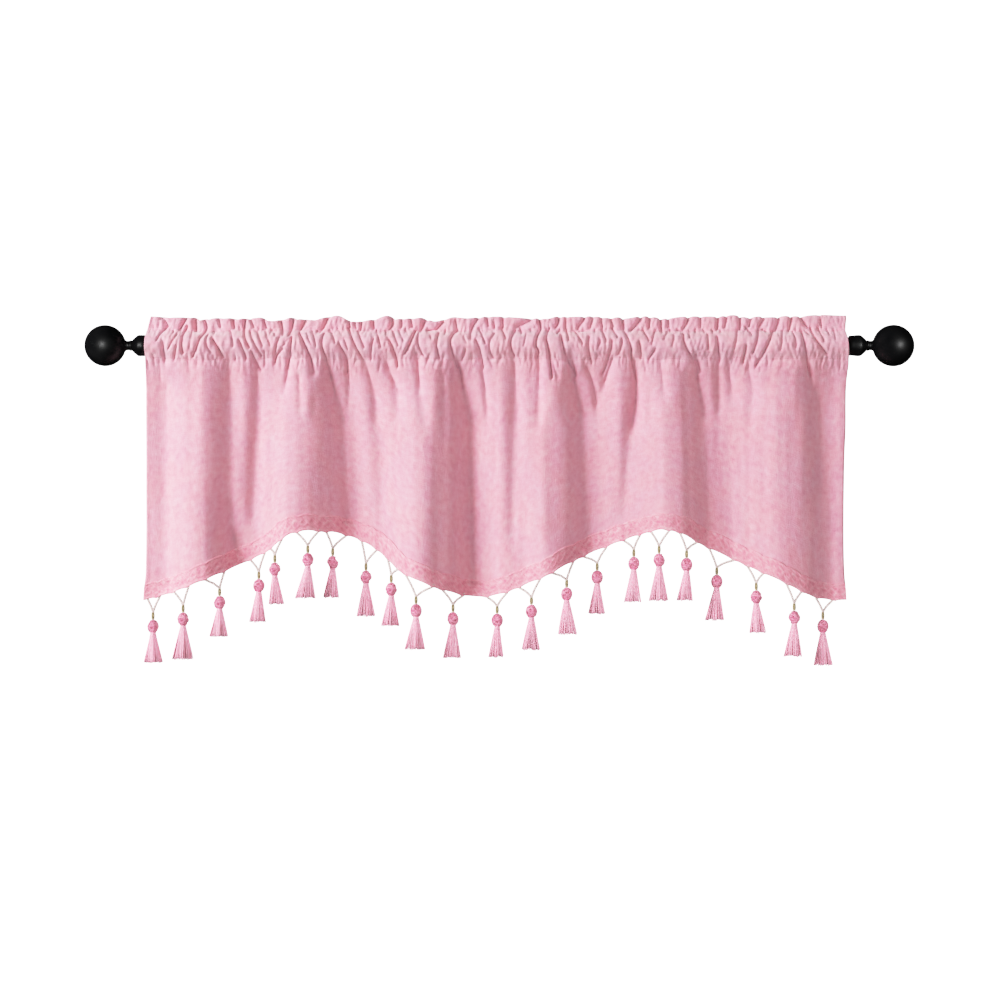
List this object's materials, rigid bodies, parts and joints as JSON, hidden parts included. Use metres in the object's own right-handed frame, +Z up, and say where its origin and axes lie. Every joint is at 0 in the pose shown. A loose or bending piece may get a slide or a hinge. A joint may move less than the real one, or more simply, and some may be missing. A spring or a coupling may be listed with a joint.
{
  "type": "window valance on a curtain rod",
  "caption": "Gathered window valance with a double-arched hem, woven braid and a bead-and-knot tassel fringe, hung by its rod pocket on a round rod with ball finials.",
  "frame": {"origin": "on the rod's axis, halfway along the rod", "axes": "+X along the rod to the viewer's right, -Y towards the room (the cloth's front), +Z up"},
  "size_m": [1.0938, 0.0597, 0.4618],
  "materials": {
    "rose_cloth": "soft woven, matte",
    "rose_braid": "ribbed braid, matte",
    "rose_yarn": "spun yarn, soft sheen",
    "black_enamel": "satin black",
    "old_gold": "antique, satin"
  },
  "bodies": {
    "root": {"rod": "black_enamel", "finial_left": "black_enamel", "finial_right": "black_enamel", "panel": "rose_cloth", "hem_braid": "rose_braid", "tassel_01": "rose_yarn", "tassel_02": "rose_yarn", "tassel_03": "rose_yarn", "tassel_04": "rose_yarn", "tassel_05": "rose_yarn", "tassel_06": "rose_yarn", "tassel_07": "rose_yarn", "tassel_08": "rose_yarn", "tassel_09": "rose_yarn", "tassel_10": "rose_yarn", "tassel_11": "rose_yarn", "tassel_12": "rose_yarn", "tassel_13": "rose_yarn", "tassel_14": "rose_yarn", "tassel_15": "rose_yarn", "tassel_16": "rose_yarn", "tassel_17": "rose_yarn", "tassel_18": "rose_yarn", "tassel_19": "rose_yarn", "tassel_20": "rose_yarn", "tassel_21": "rose_yarn", "tassel_22": "rose_yarn", "bead_01": "old_gold", "bead_02": "old_gold", "bead_03": "old_gold", "bead_04": "old_gold", "bead_05": "old_gold", "bead_06": "old_gold", "bead_07": "old_gold", "bead_08": "old_gold", "bead_09": "old_gold", "bead_10": "old_gold", "bead_11": "old_gold", "bead_12": "old_gold", "bead_13": "old_gold", "bead_14": "old_gold", "bead_15": "old_gold", "bead_16": "old_gold", "bead_17": "old_gold", "bead_18": "old_gold", "bead_19": "old_gold", "bead_20": "old_gold", "bead_21": "old_gold", "bead_22": "old_gold"}
  },
  "joints": []
}
